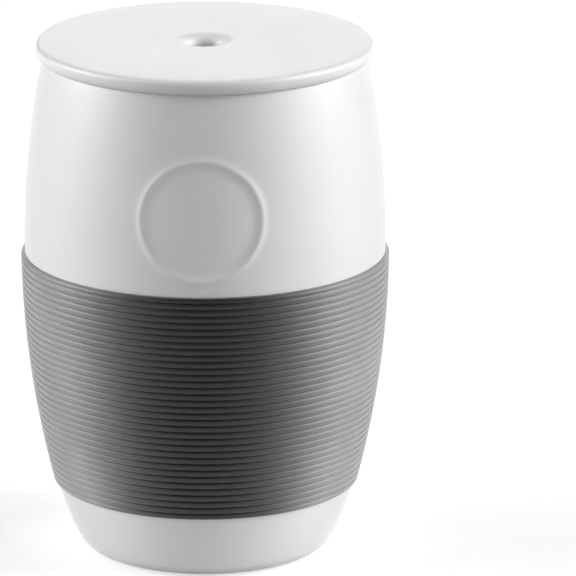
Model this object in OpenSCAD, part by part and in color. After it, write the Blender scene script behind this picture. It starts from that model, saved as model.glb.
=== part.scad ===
// Barrel-shaped ceramic cup with a vented lid and a ribbed silicone sleeve.
// All sizes are in millimetres. The cup stands on z = 0, its axis is Z and the badge faces -Y.

/* [Cup] */
// Height of the cup at its rim
cup_h = 118.8; // [112:0.2:132]
// Outside radius at the belly, where the cup is widest
belly_r = 42.5; // [38:0.1:48]
// Height of the belly above the table
belly_z = 73.8; // [68:0.1:80]
// Radius of the arc that draws the side in from the belly to the rim
shoulder_arc = 221; // [150:1:300]
// Radius of the arc that draws the side in below the belly
side_arc = 230; // [200:1:350]
// Radius of the tighter arc that ends the side at the foot
foot_arc = 70; // [50:1:90]
// Height at which the foot arc takes over from the side arc
foot_arc_z = 15.5; // [12:0.1:24]
// Rounding of the corner that runs under the foot
foot_round = 2.9; // [1:0.1:5]
// Width of the unglazed ring that the cup stands on
foot_ring_w = 4; // [3:0.1:6]
// Depth of the hollow inside the foot ring
foot_hollow_d = 1.5; // [0.8:0.1:2.5]
// Thickness of the side wall
wall_t = 4.5; // [3.5:0.1:6]
// Thickness of the floor
floor_t = 6; // [4:0.1:9]
// Rounding between the floor and the wall inside
bowl_round = 14; // [6:0.5:18]
// Rounding of both edges of the rim
rim_round = 1.2; // [0.5:0.1:1.6]

/* [Badge] */
// Radius of the badge, at the crest of its bead
badge_r = 14.4; // [8:0.1:16]
// Height of the badge's centre
badge_z = 89.7; // [88:0.1:94]
// Width of the bead round the badge
bead_w = 2.4; // [1.2:0.1:4]
// Height of the bead above the wall
bead_h = 0.2; // [0.1:0.05:0.8]
// Depth of the badge's field below the wall
field_d = 0.25; // [0.1:0.05:1]

/* [Lid] */
// Thickness of the lid's plate
lid_t = 3.9; // [3.6:0.1:6]
// How far the lid reaches out past the rim
lid_overhang = 1.7; // [0.5:0.1:4]
// Rounding of the lid's lower edge
lid_edge_low = 2.4; // [1:0.1:2.4]
// Rounding of the lid's upper edge
lid_edge_top = 1.4; // [0.5:0.1:1.4]
// Height of the ring under the lid that drops into the mouth
plug_h = 5; // [3:0.1:9]
// Thickness of that ring
plug_w = 3; // [2:0.1:6]
// Rounding of that ring's lower edges
plug_round = 0.9; // [0.2:0.1:0.9]
// Gap all round between that ring and the mouth
plug_gap = 0.8; // [0.3:0.05:1.5]

/* [Steam vent] */
// Radius of the vent's throat
vent_r = 4.5; // [2.5:0.1:8]
// How far the flared mouth of the vent spreads past the throat
flare_w = 3; // [1:0.1:6]
// How deep the flare runs into the lid
flare_d = 2.7; // [1:0.1:3]
// Rounding of the vent's edge on the underside
vent_round = 0.5; // [0.1:0.1:0.6]

/* [Sleeve] */
// Height of the sleeve's top edge
sleeve_top = 72.9; // [66:0.1:73.2]
// Height of the sleeve's bottom edge
sleeve_bottom = 16.5; // [14:0.1:24]
// How far the sleeve stands out from the cup's side
sleeve_proud = 0.9; // [0.6:0.05:2]
// Depth of the seat in the cup's wall that the sleeve sits in
seat_d = 0.8; // [0.6:0.05:1.6]
// Rounding of the glaze at the two edges of the seat
seat_round = 0.4; // [0.1:0.05:0.5]
// Gap between the sleeve and its seat
sleeve_gap = 0.05; // [0.02:0.01:0.2]
// Rounding of the sleeve's top edge
sleeve_edge_top = 0.65; // [0.2:0.05:0.85]
// Rounding of the sleeve's bottom edge
sleeve_edge_low = 0.3; // [0.1:0.05:0.5]
// Number of grooves between the ribs
groove_count = 35; // [12:1:40]
// How much closer the ribs lie at the top, where the sleeve is stretched wider: 0 spaces them evenly
rib_crowding = 0.04; // [0:0.01:0.2]
// Depth of each groove
groove_d = 0.35; // [0.1:0.05:0.5]
// Fullness of the ribs: higher gives flatter crests and narrower grooves
rib_fullness = 3; // [1.5:0.5:6]
// Height of the lip above the top groove
lip_top = 1.05; // [1:0.05:3]
// Height of the lip below the bottom groove
lip_low = 1.1; // [0.8:0.1:3]

/* [Hidden] */
$fn = 180;

// Longest straight step along a side, and steps in a quarter round
step = 4;
round_steps = 6;
// Places across a rib, from groove to groove, where its outline is drawn
rib_places = [0, 0.1, 0.25, 0.5, 0.75, 0.9];

// Centres of the three arcs of the side, which meet with no corner
shoulder_x = belly_r - shoulder_arc;
side_x = belly_r - side_arc;
foot_lean = asin((belly_z - foot_arc_z) / side_arc);
foot_x = side_x + (side_arc - foot_arc) * cos(foot_lean);
foot_z = belly_z - (side_arc - foot_arc) * sin(foot_lean);

floor_z = foot_hollow_d + floor_t;
mouth_r = side_r(cup_h, -wall_t);
lid_r = side_r(cup_h) + lid_overhang;
lid_top = cup_h + lid_t;
plug_r = mouth_r - plug_gap;
foot_ring_r = side_r(0) - foot_round;
seat_low = sleeve_bottom - sleeve_gap;
seat_high = sleeve_top + sleeve_gap;

// Lean of the side at the top and the bottom groove, and the height of a rib
lean_first = asin((belly_z - sleeve_top + lip_top) / side_arc);
lean_last = asin((belly_z - sleeve_bottom - lip_low) / side_arc);
rib_h = side_arc * (sin(lean_last) - sin(lean_first)) / (groove_count - 1);

// Radius of the side at a height, or of a line that runs parallel to it, outside or inside
function side_r(z, out = 0) =
    z > belly_z ? shoulder_x + sqrt((shoulder_arc + out) ^ 2 - (z - belly_z) ^ 2)
    : z > belly_z - (side_arc + out) * sin(foot_lean)
        ? side_x + sqrt((side_arc + out) ^ 2 - (z - belly_z) ^ 2)
        : foot_x + sqrt((foot_arc + out) ^ 2 - (z - foot_z) ^ 2);

function side_line(from, to, out = 0) =
    let (n = ceil(abs(to - from) / step))
    [for (i = [0:n]) let (z = from + (to - from) * i / n) [side_r(z, out), z]];

// Quarter round that ends the side at a height, at a top edge or, with up = -1, a bottom edge.
// It turns towards the axis, or away from it with inward = -1.
function edge_round(end, r, up = 1, out = 0, inward = 1) =
    [for (i = [0:round_steps])
        let (a = 90 * i / round_steps, z = end - up * r * (1 - sin(a)))
        [side_r(z, out) - inward * r * (1 - cos(a)), z]];

// Arc about a centre, round or flattened, from one angle to another
function arc(x, z, rx, rz, from, to) =
    [for (i = [0:round_steps])
        let (a = from + (to - from) * i / round_steps)
        [x + rx * cos(a), z + rz * sin(a)]];

function reversed(points) = [for (i = [len(points) - 1:-1:0]) points[i]];

// Section of the cup, from the hollow under the foot up the outside and down the inside
module cup_section() {
    polygon(concat(
        [[0, foot_hollow_d], [foot_ring_r - foot_ring_w - foot_hollow_d, foot_hollow_d],
            [foot_ring_r - foot_ring_w, 0]],
        reversed(edge_round(0, foot_round, -1)),
        side_line(foot_round, seat_low - seat_round),
        edge_round(seat_low, seat_round),
        side_line(seat_low, seat_high, -seat_d),
        reversed(edge_round(seat_high, seat_round, -1)),
        side_line(seat_high + seat_round, cup_h - rim_round),
        edge_round(cup_h, rim_round),
        reversed(edge_round(cup_h, rim_round, 1, -wall_t, -1)),
        side_line(cup_h - rim_round, floor_z + bowl_round, -wall_t),
        edge_round(floor_z, bowl_round, -1, -wall_t),
        [[0, floor_z]]
    ));
}

// A skin of the side between two parallel lines, as high as the badge
module badge_skin(inner, outer) {
    low = badge_z - badge_r - bead_w;
    high = badge_z + badge_r + bead_w;
    rotate_extrude()
        polygon(concat(side_line(low, high, outer), side_line(high, low, inner)));
}

// A plug that runs through the front wall at the badge
module badge_plug(r) {
    translate([0, -belly_r / 2, badge_z])
        rotate([90, 0, 0])
            cylinder(r = r, h = belly_r);
}

module badge_bead() {
    difference() {
        intersection() {
            badge_skin(-wall_t / 2, bead_h);
            badge_plug(badge_r + bead_w / 2);
        }
        badge_plug(badge_r - bead_w / 2);
    }
}

module badge_field() {
    intersection() {
        badge_skin(-field_d, wall_t);
        badge_plug(badge_r - bead_w / 2);
    }
}

module cup() {
    color("white")
        difference() {
            union() {
                rotate_extrude()
                    cup_section();
                badge_bead();
            }
            badge_field();
        }
}

// Section of the lid, from the vent's lower edge out along the underside and back over the top
module lid_section() {
    plug_low = cup_h - plug_h;
    polygon(concat(
        arc(vent_r + vent_round, cup_h + vent_round, vent_round, vent_round, 180, 270),
        [[plug_r - plug_w, cup_h]],
        arc(plug_r - plug_w + plug_round, plug_low + plug_round, plug_round, plug_round, 180, 270),
        arc(plug_r - plug_round, plug_low + plug_round, plug_round, plug_round, 270, 360),
        [[plug_r, cup_h]],
        arc(lid_r - lid_edge_low, cup_h + lid_edge_low, lid_edge_low, lid_edge_low, 270, 360),
        arc(lid_r - lid_edge_top, lid_top - lid_edge_top, lid_edge_top, lid_edge_top, 0, 90),
        arc(vent_r + flare_w, lid_top - flare_d, flare_w, flare_d, 90, 180)
    ));
}

module lid() {
    color("whitesmoke")
        rotate_extrude()
            lid_section();
}

// Height of a groove, counted from the top one
function groove_z(k) =
    let (share = k / (groove_count - 1), along = share - rib_crowding * share * (1 - share))
    belly_z - side_arc * sin(lean_first + (lean_last - lean_first) * along);

// How far the outline sinks at a share of the way across a rib
function rib_sink(place) = groove_d * abs(2 * place - 1) ^ rib_fullness;

function rib(k) =
    [for (place = rib_places)
        let (z = groove_z(k) + (groove_z(k + 1) - groove_z(k)) * place)
        [side_r(z, sleeve_proud - rib_sink(place)), z]];

// Outline of the lip beside the first or the last groove, up to where its rounding starts
function lip_flank(groove, up, flat) =
    [for (place = rib_places)
        let (z = groove + up * place * rib_h)
        if (place <= 0.5 && place * rib_h < flat) [side_r(z, sleeve_proud - rib_sink(place)), z]];

// Section of the sleeve, from its top edge down the ribs and up the back
module sleeve_section() {
    polygon(concat(
        reversed(edge_round(sleeve_top, sleeve_edge_top, 1, sleeve_proud)),
        reversed(lip_flank(groove_z(0), 1, lip_top - sleeve_edge_top)),
        [for (k = [0:groove_count - 2]) each rib(k)],
        lip_flank(groove_z(groove_count - 1), -1, lip_low - sleeve_edge_low),
        edge_round(sleeve_bottom, sleeve_edge_low, -1, sleeve_proud),
        side_line(sleeve_bottom, sleeve_top, sleeve_gap - seat_d)
    ));
}

module sleeve() {
    color("dimgray")
        rotate_extrude()
            sleeve_section();
}

cup();
lid();
sleeve();
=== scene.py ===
import math

import bpy
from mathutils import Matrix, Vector


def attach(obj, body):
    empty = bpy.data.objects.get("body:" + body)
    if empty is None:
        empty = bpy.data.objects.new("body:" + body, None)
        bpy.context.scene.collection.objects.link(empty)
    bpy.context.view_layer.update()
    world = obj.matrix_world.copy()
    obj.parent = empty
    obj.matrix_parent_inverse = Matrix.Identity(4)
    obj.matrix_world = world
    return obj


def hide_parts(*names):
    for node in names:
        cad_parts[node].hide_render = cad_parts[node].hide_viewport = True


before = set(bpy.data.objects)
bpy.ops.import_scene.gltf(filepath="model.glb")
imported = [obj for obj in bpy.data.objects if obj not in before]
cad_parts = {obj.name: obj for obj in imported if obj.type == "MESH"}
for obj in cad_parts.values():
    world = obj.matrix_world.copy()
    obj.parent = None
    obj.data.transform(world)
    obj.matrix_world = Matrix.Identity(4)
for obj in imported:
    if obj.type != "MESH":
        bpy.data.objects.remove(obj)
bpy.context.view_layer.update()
print("frame loaded")

mm = 0.001  # outlines are drawn in millimetres and made into metres as they are spun


# Outlines are lists of (radius, height), drawn like a turner's template.

def spread(low, high, gap):
    steps = max(1, math.ceil(abs(high - low) / gap))
    return [low + (high - low) * i / steps for i in range(steps + 1)]


def arc(x, z, rx, rz, start, end, steps):
    turn = [math.radians(start + (end - start) * i / steps) for i in range(steps + 1)]
    return [(x + rx * math.cos(a), z + rz * math.sin(a)) for a in turn]


def withoutDoubles(points):
    kept = [points[0]]
    for point in points[1:]:
        if math.dist(point, kept[-1]) > 1e-4:
            kept.append(point)
    return kept


def spin(name, outline, angles, closed, shape=None):
    # turns the outline round Z; an outline that isn't closed starts and ends on the axis
    outline = withoutDoubles(outline)
    rings = outline if closed else outline[1:-1]
    count = len(angles)
    verts, faces = [], []
    for radius, height in rings:
        for angle in angles:
            spot = Vector((radius * math.cos(angle), radius * math.sin(angle), height))
            verts.append((shape(spot) if shape else spot) * mm)
    last = len(rings) if closed else len(rings) - 1
    for i in range(last):
        here, there = i * count, (i + 1) % len(rings) * count
        for j in range(count):
            k = (j + 1) % count
            faces.append((here + j, here + k, there + k, there + j))
    if not closed:
        for ring, height, flip in ((0, outline[0][1], True), (len(rings) - 1, outline[-1][1], False)):
            verts.append(Vector((0, 0, height)) * mm)
            for j in range(count):
                edge = (ring * count + j, ring * count + (j + 1) % count)
                faces.append((edge[1], edge[0], len(verts) - 1) if flip else (*edge, len(verts) - 1))
    mesh = bpy.data.meshes.new(name)
    mesh.from_pydata(verts, [], faces)
    mesh.shade_smooth()
    mesh.update()
    piece = bpy.data.objects.new(name, mesh)
    bpy.context.scene.collection.objects.link(piece)
    return piece


def evenAngles(count):
    return [2 * math.pi * i / count for i in range(count)]


def place(piece, node, material):
    piece.data.materials.append(material)
    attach(piece, "root")
    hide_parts(node)


# Materials

def newMaterial(name):
    material = bpy.data.materials.new(name)
    material.use_nodes = True
    tree = material.node_tree
    tree.nodes.clear()
    output = tree.nodes.new("ShaderNodeOutputMaterial")
    shader = tree.nodes.new("ShaderNodeBsdfPrincipled")
    tree.links.new(shader.outputs["BSDF"], output.inputs["Surface"])
    return material, tree, shader


def addMath(tree, operation, first, second=None):
    node = tree.nodes.new("ShaderNodeMath")
    node.operation = operation
    for socket, value in zip(node.inputs, (first, second)):
        if isinstance(value, (int, float)):
            socket.default_value = value
        elif value:
            tree.links.new(value, socket)
    return node.outputs["Value"]


softSpan = (0.3, 0.7)      # most of a noise lies between these
sharpSpan = (0.35, 0.65)   # a narrower span has more contrast


def addNoise(tree, scale, detail):
    spot = tree.nodes.new("ShaderNodeTexCoord")
    noise = tree.nodes.new("ShaderNodeTexNoise")
    noise.inputs["Scale"].default_value = scale
    noise.inputs["Detail"].default_value = detail
    tree.links.new(spot.outputs["Object"], noise.inputs["Vector"])
    return noise.outputs["Fac"]


def addRange(tree, source, fromLow, fromHigh, toLow, toHigh):
    node = tree.nodes.new("ShaderNodeMapRange")
    node.interpolation_type = "SMOOTHSTEP"
    for socket, value in zip(("From Min", "From Max", "To Min", "To Max"),
                             (fromLow, fromHigh, toLow, toHigh)):
        node.inputs[socket].default_value = value
    tree.links.new(source, node.inputs["Value"])
    return node.outputs["Result"]


def addMix(tree, factor, low, high):
    node = tree.nodes.new("ShaderNodeMix")
    node.data_type = "RGBA"
    tree.links.new(factor, node.inputs["Factor"])
    for socket, value in ((node.inputs["A"], low), (node.inputs["B"], high)):
        if isinstance(value, tuple):
            socket.default_value = (*value, 1)
        else:
            tree.links.new(value, socket)
    return node.outputs["Result"]


def addSlant(tree, normal=None):
    # 0 where the surface is seen square on and 1 where it is seen edge on
    node = tree.nodes.new("ShaderNodeLayerWeight")
    node.inputs["Blend"].default_value = 0.5
    if normal:
        tree.links.new(normal, node.inputs["Normal"])
    return node.outputs["Facing"]


def addOutward(tree):
    # the direction straight out from the Z axis, the same on a rib as in a groove
    spot = tree.nodes.new("ShaderNodeTexCoord")
    level = tree.nodes.new("ShaderNodeVectorMath")
    level.operation = "MULTIPLY"
    level.inputs[1].default_value = (1, 1, 0)
    tree.links.new(spot.outputs["Object"], level.inputs[0])
    outward = tree.nodes.new("ShaderNodeVectorMath")
    outward.operation = "NORMALIZE"
    tree.links.new(level.outputs["Vector"], outward.inputs[0])
    return outward.outputs["Vector"]


def addScale(tree, colour, factor):
    node = tree.nodes.new("ShaderNodeVectorMath")
    node.operation = "SCALE"
    tree.links.new(colour, node.inputs["Vector"])
    tree.links.new(factor, node.inputs["Scale"])
    return node.outputs["Vector"]


def addBump(tree, height, distance, strength, under=None):
    bump = tree.nodes.new("ShaderNodeBump")
    bump.inputs["Distance"].default_value = distance
    bump.inputs["Strength"].default_value = strength
    tree.links.new(height, bump.inputs["Height"])
    if under:
        tree.links.new(under, bump.inputs["Normal"])
    return bump.outputs["Normal"]


glazeLook = dict(
    thick=(0.82, 0.82, 0.82),       # glaze where it lies thick
    thin=(0.845, 0.845, 0.845),     # and where it has run thin
    slantFrom=0.3, slantTo=0.75,    # painted shade: the colour darkens where the glaze is seen at a slant, towards the outline
    cloudScale=38,                  # slow change from thick to thin
    rippleScale=120, rippleDepth=0.00003, rippleStrength=0.5,
    peelScale=1400, peelDepth=0.000003, peelStrength=0.6,
    glossLow=0.285, glossHigh=0.33, index=1.5,
    bisque=(0.66, 0.63, 0.57),      # bare fired clay of the foot ring
    bisqueRough=0.85,
    bareBelow=0.00035, bareTo=0.00056,   # metres; the foot ring is wiped clean up to here
)


def makeGlaze(name, paintedEdgeShade, bareFoot=False):
    # painted shade: where the glaze is seen edge on, only this share of its colour is left, so the
    # outline darkens
    look = glazeLook
    material, tree, shader = newMaterial(name)
    cloud = addNoise(tree, look["cloudScale"], 2)
    colour = addMix(tree, addRange(tree, cloud, *softSpan, 0, 1), look["thick"], look["thin"])
    # painted shade towards the outline, where the surface is seen at a slant
    shade = addRange(tree, addSlant(tree), look["slantFrom"], look["slantTo"], 1, paintedEdgeShade)
    colour = addScale(tree, colour, shade)
    smudge = addNoise(tree, look["rippleScale"], 2)
    gloss = addRange(tree, smudge, *softSpan, look["glossLow"], look["glossHigh"])
    if bareFoot:
        spot = tree.nodes.new("ShaderNodeTexCoord")
        axes = tree.nodes.new("ShaderNodeSeparateXYZ")
        tree.links.new(spot.outputs["Object"], axes.inputs["Vector"])
        bare = addRange(tree, axes.outputs["Z"], look["bareBelow"], look["bareTo"], 1, 0)
        colour = addMix(tree, bare, colour, look["bisque"])
        roughMix = tree.nodes.new("ShaderNodeMix")
        tree.links.new(bare, roughMix.inputs["Factor"])
        tree.links.new(gloss, roughMix.inputs["A"])
        roughMix.inputs["B"].default_value = look["bisqueRough"]
        gloss = roughMix.outputs["Result"]
    tree.links.new(colour, shader.inputs["Base Color"])
    tree.links.new(gloss, shader.inputs["Roughness"])
    shader.inputs["IOR"].default_value = look["index"]
    waves = addNoise(tree, look["rippleScale"], 1)
    ripple = addBump(tree, waves, look["rippleDepth"], look["rippleStrength"])
    dimples = addNoise(tree, look["peelScale"], 2)
    peel = addBump(tree, dimples, look["peelDepth"], look["peelStrength"], ripple)
    tree.links.new(peel, shader.inputs["Normal"])
    return material


siliconeLook = dict(
    dark=(0.01, 0.01, 0.01),        # seen square on
    paintedSheen=(0.335, 0.335, 0.335),    # painted sheen: the lighter grey where the side is seen at a slant
    slantFrom=-0.02, slantTo=0.41,
    cloudScale=70, cloudDepth=0.1,  # soft handling marks
    grainScale=2600, grainDepth=0.000004, grainStrength=0.5,
    smudgeScale=420, roughLow=0.29, roughHigh=0.35,
    index=1.41, sheen=0.5, sheenRough=0.3,
)


def makeSilicone(name):
    look = siliconeLook
    material, tree, shader = newMaterial(name)
    # painted sheen: the colour turns from dark to a lighter grey where the smooth side, ribs left out,
    # is seen at a slant
    slant = addSlant(tree, addOutward(tree))
    sheenShare = addRange(tree, slant, look["slantFrom"], look["slantTo"], 0, 1)
    marks = addNoise(tree, look["cloudScale"], 4)
    cloud = addRange(tree, marks, *sharpSpan, 1 - look["cloudDepth"], 1)
    colour = addMix(tree, sheenShare, look["dark"], look["paintedSheen"])
    tree.links.new(addScale(tree, colour, cloud), shader.inputs["Base Color"])
    smudge = addNoise(tree, look["smudgeScale"], 3)
    rough = addRange(tree, smudge, *softSpan, look["roughLow"], look["roughHigh"])
    tree.links.new(rough, shader.inputs["Roughness"])
    shader.inputs["IOR"].default_value = look["index"]
    shader.inputs["Sheen Weight"].default_value = look["sheen"]
    shader.inputs["Sheen Roughness"].default_value = look["sheenRough"]
    grain = addNoise(tree, look["grainScale"], 1)
    skin = addBump(tree, grain, look["grainDepth"], look["grainStrength"])
    tree.links.new(skin, shader.inputs["Normal"])
    return material


# Cup: the side is three arcs that meet with no corner. Lengths are in millimetres.

cup = dict(
    height=118.8, bellyRadius=42.5, bellyHeight=73.8,
    shoulderArc=221, sideArc=230, footArc=70, footArcTop=15.5,   # radii, and where the lowest ends
    footRound=2.9, ringWidth=4, ringRound=0.3,
    hollowDepth=1.5, hollowRound=0.4, centre=8,   # hollow under the floor, and the flat at its centre
    wall=4.5, floor=6, bowlRound=14,
    rimOut=0.35, rimIn=1.2,         # roundings of the rim
    seatDepth=0.8, seatRound=0.25,  # the sleeve sits in a shallow seat
    badgeHeight=89.7, badgeRadius=14.1,   # radius of the bead's crest
    beadOut=2.3, beadIn=3.3,        # width of the bead's two flanks
    beadHeight=0.28, fieldDepth=0.34, crestSoft=0.18,
    frontSpan=24, frontStep=0.34, backStep=1.5,   # degrees; the front is meshed finely for the badge
    badgeStep=0.28,                 # ring spacing across the badge
    # painted shade: share of the cup's colour left at its outline
    paintedEdgeShade=0.83,
)

sleeve = dict(
    top=71.85, bottom=16.4,
    proud=0.88, gap=0.05,           # out from the cup's side, and clear of its seat
    topRound=0.65, lowRound=0.3,
    grooves=34, grooveDepth=0.55,
    fullness=3.6,                   # higher gives flatter ribs and narrower grooves
    crowding=0.04,                  # ribs lie a little closer at the top, where it is stretched wider
    lipTop=1.1, lipLow=1.4,         # from each end to the nearest groove
    ribSteps=(0, 0.03, 0.07, 0.12, 0.2, 0.32, 0.5, 0.68, 0.8, 0.88, 0.93, 0.97),
    sides=208,
)

footLean = math.asin((cup["bellyHeight"] - cup["footArcTop"]) / cup["sideArc"])
shoulderX = cup["bellyRadius"] - cup["shoulderArc"]
sideX = cup["bellyRadius"] - cup["sideArc"]
footX = sideX + (cup["sideArc"] - cup["footArc"]) * math.cos(footLean)
footZ = cup["bellyHeight"] - (cup["sideArc"] - cup["footArc"]) * math.sin(footLean)


def sideRadius(z, out=0.0):
    rise = z - cup["bellyHeight"]
    if rise > 0:
        return shoulderX + math.sqrt((cup["shoulderArc"] + out) ** 2 - rise ** 2)
    if -rise < (cup["sideArc"] + out) * math.sin(footLean):
        return sideX + math.sqrt((cup["sideArc"] + out) ** 2 - rise ** 2)
    return footX + math.sqrt((cup["footArc"] + out) ** 2 - (z - footZ) ** 2)


def sideLine(low, high, gap, out=0.0):
    return [(sideRadius(z, out), z) for z in spread(low, high, gap)]


def edgeRound(end, radius, up=1, out=0.0, inward=1, steps=8):
    # quarter round that ends the side at a height; up = -1 for a lower edge, inward = -1 inside the cup
    points = []
    for i in range(steps + 1):
        a = 0.5 * math.pi * i / steps
        z = end - up * radius * (1 - math.sin(a))
        points.append((sideRadius(z, out) - inward * radius * (1 - math.cos(a)), z))
    return points


def cupOutline():
    seatLow = sleeve["bottom"] - sleeve["gap"]
    seatHigh = sleeve["top"] + sleeve["gap"]
    ringOut = sideRadius(0) - cup["footRound"]
    ringIn = ringOut - cup["ringWidth"]
    hollow, centre = cup["hollowDepth"], cup["centre"]
    soft, low = cup["hollowRound"], cup["ringRound"]
    floorTop = hollow + cup["floor"]
    reach = cup["badgeRadius"] + cup["beadOut"]
    badgeLow, badgeHigh = cup["badgeHeight"] - reach, cup["badgeHeight"] + reach
    return (
        [(0, hollow), (centre, hollow)]
        + arc(ringIn - hollow, hollow - soft, soft, soft, 90, 35, 3)
        + arc(ringIn + low, low, low, low, 215, 270, 3)
        + edgeRound(0, cup["footRound"], -1, steps=10)[::-1]
        + sideLine(cup["footRound"], seatLow - cup["seatRound"], 1.2)
        + edgeRound(seatLow, cup["seatRound"], steps=5)
        + sideLine(seatLow, seatHigh, 5, -cup["seatDepth"])
        + edgeRound(seatHigh, cup["seatRound"], -1, steps=5)[::-1]
        + sideLine(seatHigh + cup["seatRound"], badgeLow, 0.5)
        + sideLine(badgeLow, badgeHigh, cup["badgeStep"])
        + sideLine(badgeHigh, cup["height"] - cup["rimOut"], 1)
        + edgeRound(cup["height"], cup["rimOut"])
        + edgeRound(cup["height"], cup["rimIn"], out=-cup["wall"], inward=-1)[::-1]
        + sideLine(cup["height"] - cup["rimIn"], floorTop + cup["bowlRound"], 5, -cup["wall"])
        + edgeRound(floorTop, cup["bowlRound"], -1, -cup["wall"], steps=12)
        + [(centre, floorTop), (0, floorTop)]
    )


def flank(share):
    # height left on the bead's flank, 1 on the crest and 0 at its foot, steepest near the crest
    soft = cup["crestSoft"]
    share = (math.hypot(share, soft) - soft) / (math.hypot(1, soft) - soft)
    return (1 - min(1, share)) ** 3


def badgeRelief(spot):
    # presses the round badge into the front wall, with a soft bead along its edge
    radius = math.hypot(spot.x, spot.y)
    if spot.y > 0 or radius < sideRadius(spot.z) - 0.5 * cup["wall"]:
        return spot
    away = math.hypot(spot.x, spot.z - cup["badgeHeight"]) - cup["badgeRadius"]
    if away >= 0:
        lift = cup["beadHeight"] * flank(away / cup["beadOut"])
    else:
        lift = (cup["beadHeight"] + cup["fieldDepth"]) * flank(-away / cup["beadIn"]) - cup["fieldDepth"]
    grow = 1 + lift / radius
    return Vector((spot.x * grow, spot.y * grow, spot.z))


def cupAngles():
    # degrees from the front, which is -Y; finely spaced where the badge is
    front = spread(-cup["frontSpan"], cup["frontSpan"], cup["frontStep"])
    back = spread(cup["frontSpan"], 360 - cup["frontSpan"], cup["backStep"])
    return [math.radians(a - 90) for a in front + back[1:-1]]


cupPiece = spin("cup_ceramic", cupOutline(), cupAngles(), closed=False, shape=badgeRelief)
place(cupPiece, "cup", makeGlaze("cup_glaze", cup["paintedEdgeShade"], bareFoot=True))
print("cup made,", len(cupPiece.data.polygons), "faces")


# Lid: a plate with a rounded edge, a flared vent and a ring that drops into the mouth

lid = dict(
    thickness=3.9, overhang=1.72,
    lowReach=1.78, lowRise=2.5,     # the lower edge curves in until it is flush with the cup
    topRound=1.25,
    crown=0.15, crownReach=6,       # the top falls a little towards its edge
    plugHeight=5, plugWidth=3, plugRound=0.9, plugGap=0.8, plugStep=0.3, cornerRound=0.8,
    ventRadius=4.5, flareWidth=3, flareDepth=2.7, ventRound=0.5,
    # painted shade at the lid's outline is lighter than on the cup
    sides=256, paintedEdgeShade=0.97,
)


def lidOutline():
    under = cup["height"]
    top = under + lid["thickness"]
    edge = sideRadius(under) + lid["overhang"]
    plugOut = sideRadius(under, -cup["wall"]) - lid["plugGap"]
    plugIn = plugOut - lid["plugWidth"]
    plugLow = under - lid["plugHeight"]
    plugStep, corner = lid["plugStep"], lid["cornerRound"]
    soft, high, crown, reach = lid["plugRound"], lid["topRound"], lid["crown"], lid["crownReach"]
    shoulder = edge - high
    fall = [(shoulder - reach * s, top - crown * (1 - s) ** 2) for s in spread(0.1, 1, 0.15)]
    vent, lip = lid["ventRadius"], lid["ventRound"]
    mouth, throatTop = vent + lid["flareWidth"], top - lid["flareDepth"]
    lowX, lowZ = lid["lowReach"], lid["lowRise"]
    return (
        arc(vent + lip, under + lip, lip, lip, 180, 270, 5)
        + [(r, under) for r in spread(vent + 2, plugIn - corner - 1, 5)]
        + arc(plugIn - corner, under - corner, corner, corner, 90, 0, 5)
        + arc(plugIn + soft, plugLow + soft, soft, soft, 180, 270, 5)
        + arc(plugOut - soft, plugLow + soft, soft, soft, 270, 360, 5)
        + [(plugOut, under - plugStep), (plugOut + plugStep, under)]
        + arc(edge - lowX, under + lowZ, lowX, lowZ, 270, 360, 16)
        + arc(shoulder, top - crown - high, high, high, 0, 90, 12)
        + fall + [(r, top) for r in spread(shoulder - reach - 2, mouth + 1, 3)]
        + arc(mouth, throatTop, lid["flareWidth"], lid["flareDepth"], 90, 180, 16)
        + [(vent, z) for z in spread(throatTop - 0.1, under + lip + 0.1, 0.4)]
    )


lidPiece = spin("lid_ceramic", lidOutline(), evenAngles(lid["sides"]), closed=True)
place(lidPiece, "lid", makeGlaze("lid_glaze", lid["paintedEdgeShade"]))
print("lid made,", len(lidPiece.data.polygons), "faces")


# Sleeve: ribs spaced along the side, with narrow grooves between them

def ribSink(share):
    # depth below the crest, at a share of the way from one groove to the next
    return sleeve["grooveDepth"] * abs(2 * share - 1) ** sleeve["fullness"]


def sleeveOutline():
    belly, side, count = cup["bellyHeight"], cup["sideArc"], sleeve["grooves"]
    first = math.asin((belly - sleeve["top"] + sleeve["lipTop"]) / side)
    last = math.asin((belly - sleeve["bottom"] - sleeve["lipLow"]) / side)
    shares = [k / (count - 1) for k in range(count)]
    along = [share - sleeve["crowding"] * share * (1 - share) for share in shares]
    groove = [belly - side * math.sin(first + (last - first) * share) for share in along]
    rib = (groove[0] - groove[-1]) / (count - 1)
    flatTop, flatLow = sleeve["lipTop"] - sleeve["topRound"], sleeve["lipLow"] - sleeve["lowRound"]

    def crest(z, share):
        return (sideRadius(z, sleeve["proud"] - ribSink(share)), z)

    half = [s for s in sleeve["ribSteps"] if s <= 0.5]
    points = edgeRound(sleeve["top"], sleeve["topRound"], out=sleeve["proud"], steps=7)[::-1]
    points += [crest(groove[0] + rib * s, s) for s in half[::-1] if rib * s < flatTop]
    for k in range(count - 1):
        points += [crest(groove[k] + (groove[k + 1] - groove[k]) * s, s) for s in sleeve["ribSteps"]]
    points += [crest(groove[-1] - rib * s, s) for s in half if rib * s < flatLow]
    points += edgeRound(sleeve["bottom"], sleeve["lowRound"], -1, out=sleeve["proud"], steps=5)
    points += sideLine(sleeve["bottom"], sleeve["top"], 5, sleeve["gap"] - cup["seatDepth"])
    return points


sleevePiece = spin("sleeve_silicone", sleeveOutline(), evenAngles(sleeve["sides"]), closed=True)
place(sleevePiece, "sleeve", makeSilicone("sleeve_silicone"))
print("sleeve made,", len(sleevePiece.data.polygons), "faces")


# Floor: pale paper that turns greyer further off, so that less light comes up to the cup's front.
# It is lifted to white where it is seen straight on or as a reflection.

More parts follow.
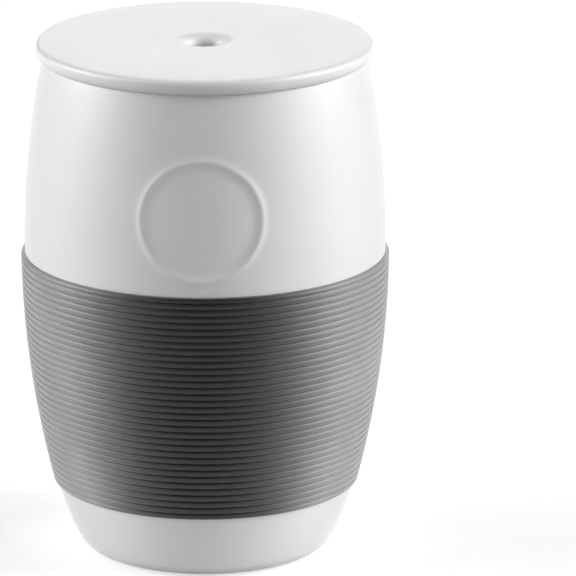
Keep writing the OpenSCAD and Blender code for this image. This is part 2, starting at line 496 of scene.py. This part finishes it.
floorLook = dict(
    size=40.0,
    pale=(0.6, 0.6, 0.6), paler=(0.62, 0.62, 0.62), paperScale=60,
    far=(0.34, 0.34, 0.34),
    fadeFrom=0.06, fadeTo=0.15,     # metres from the cup's axis
    liftNear=0.57, liftFar=0.7,     # light added where it is only looked at
    rough=0.9, shine=0.1,
)


def makeFloor():
    half = floorLook["size"] / 2
    mesh = bpy.data.meshes.new("floor")
    corners = [(-half, -half, 0), (half, -half, 0), (half, half, 0), (-half, half, 0)]
    mesh.from_pydata(corners, [], [(0, 1, 2, 3)])
    floorPiece = bpy.data.objects.new("floor", mesh)
    bpy.context.scene.collection.objects.link(floorPiece)
    material, tree, shader = newMaterial("floor_paper")
    fibre = addRange(tree, addNoise(tree, floorLook["paperScale"], 4), *sharpSpan, 0, 1)
    paper = addMix(tree, fibre, floorLook["pale"], floorLook["paler"])
    spot = tree.nodes.new("ShaderNodeTexCoord")
    distance = tree.nodes.new("ShaderNodeVectorMath")
    distance.operation = "LENGTH"
    tree.links.new(spot.outputs["Object"], distance.inputs["Vector"])
    fade = (floorLook["fadeFrom"], floorLook["fadeTo"])
    away = addRange(tree, distance.outputs["Value"], *fade, 0, 1)
    tree.links.new(addMix(tree, away, paper, floorLook["far"]), shader.inputs["Base Color"])
    lift = addRange(tree, distance.outputs["Value"], *fade, floorLook["liftNear"], floorLook["liftFar"])
    shader.inputs["Roughness"].default_value = floorLook["rough"]
    shader.inputs["Specular IOR Level"].default_value = floorLook["shine"]
    ray = tree.nodes.new("ShaderNodeLightPath")
    seen = ray.outputs["Is Camera Ray"]
    for kind in ("Is Glossy Ray", "Is Transmission Ray"):
        seen = addMath(tree, "MAXIMUM", seen, ray.outputs[kind])
    shader.inputs["Emission Color"].default_value = (1, 1, 1, 1)
    tree.links.new(addMath(tree, "MULTIPLY", seen, lift), shader.inputs["Emission Strength"])
    mesh.materials.append(material)


makeFloor()
print("floor laid")


# Light: a tent with strong glows on both sides, and weak ones in front and behind, all fading softly.
# A glow is its turn from the front towards +X and its rise, both in degrees, and its strength.

tent = dict(
    softness=20,                    # higher draws each glow together
    glows=[
        (50, 12, 0.35), (80, 18, 5.2), (95, 18, 6.7), (80, 36, 4.6),
        (-80, 0, 2.5), (-80, 18, 3.2), (-95, 18, 9.0), (-80, 36, 0.9),
        (180, 8, 1.55), (180, 30, 0.85),
    ],
)


def towards(turn, rise):
    turn, rise = math.radians(turn), math.radians(rise)
    return Vector((math.sin(turn) * math.cos(rise), -math.cos(turn) * math.cos(rise), math.sin(rise)))


def makeTent():
    world = bpy.data.worlds.new("tent")
    bpy.context.scene.world = world
    world.use_nodes = True
    tree = world.node_tree
    tree.nodes.clear()
    output = tree.nodes.new("ShaderNodeOutputWorld")
    back = tree.nodes.new("ShaderNodeBackground")
    spot = tree.nodes.new("ShaderNodeTexCoord")
    total = None
    for turn, rise, strength in tent["glows"]:
        near = tree.nodes.new("ShaderNodeVectorMath")
        near.operation = "DOT_PRODUCT"
        tree.links.new(spot.outputs["Generated"], near.inputs[0])
        near.inputs[1].default_value = towards(turn, rise)
        below = addMath(tree, "SUBTRACT", near.outputs["Value"], 1)
        fade = addMath(tree, "MULTIPLY", below, tent["softness"])
        glow = addMath(tree, "MULTIPLY", addMath(tree, "EXPONENT", fade), strength)
        total = addMath(tree, "ADD", total, glow) if total else glow
    tree.links.new(total, back.inputs["Strength"])
    tree.links.new(back.outputs["Background"], output.inputs["Surface"])


makeTent()
print("light tent set up")


# Camera: a long lens from a step back, a little right of the front, looking down

camera = dict(
    distance=1.5001, height=0.49166,   # metres
    aside=1.2, down=15.975, yaw=0.745,   # degrees; aside is towards +X
    lens=412.9, sensor=36,          # millimetres
    near=0.05, far=20,              # metres
)


def addCamera():
    data = bpy.data.cameras.new("camera")
    data.sensor_width = camera["sensor"]
    data.lens = camera["lens"]
    data.clip_start = camera["near"]
    data.clip_end = camera["far"]
    rig = bpy.data.objects.new("camera", data)
    side, away = math.radians(camera["aside"]), camera["distance"]
    rig.location = (away * math.sin(side), -away * math.cos(side), camera["height"])
    turn = math.radians(camera["aside"] - camera["yaw"])
    rig.rotation_euler = (math.radians(90 - camera["down"]), 0, turn)
    bpy.context.scene.collection.objects.link(rig)
    bpy.context.scene.camera = rig


addCamera()
bpy.context.scene.view_settings.view_transform = "Standard"
print("camera set")
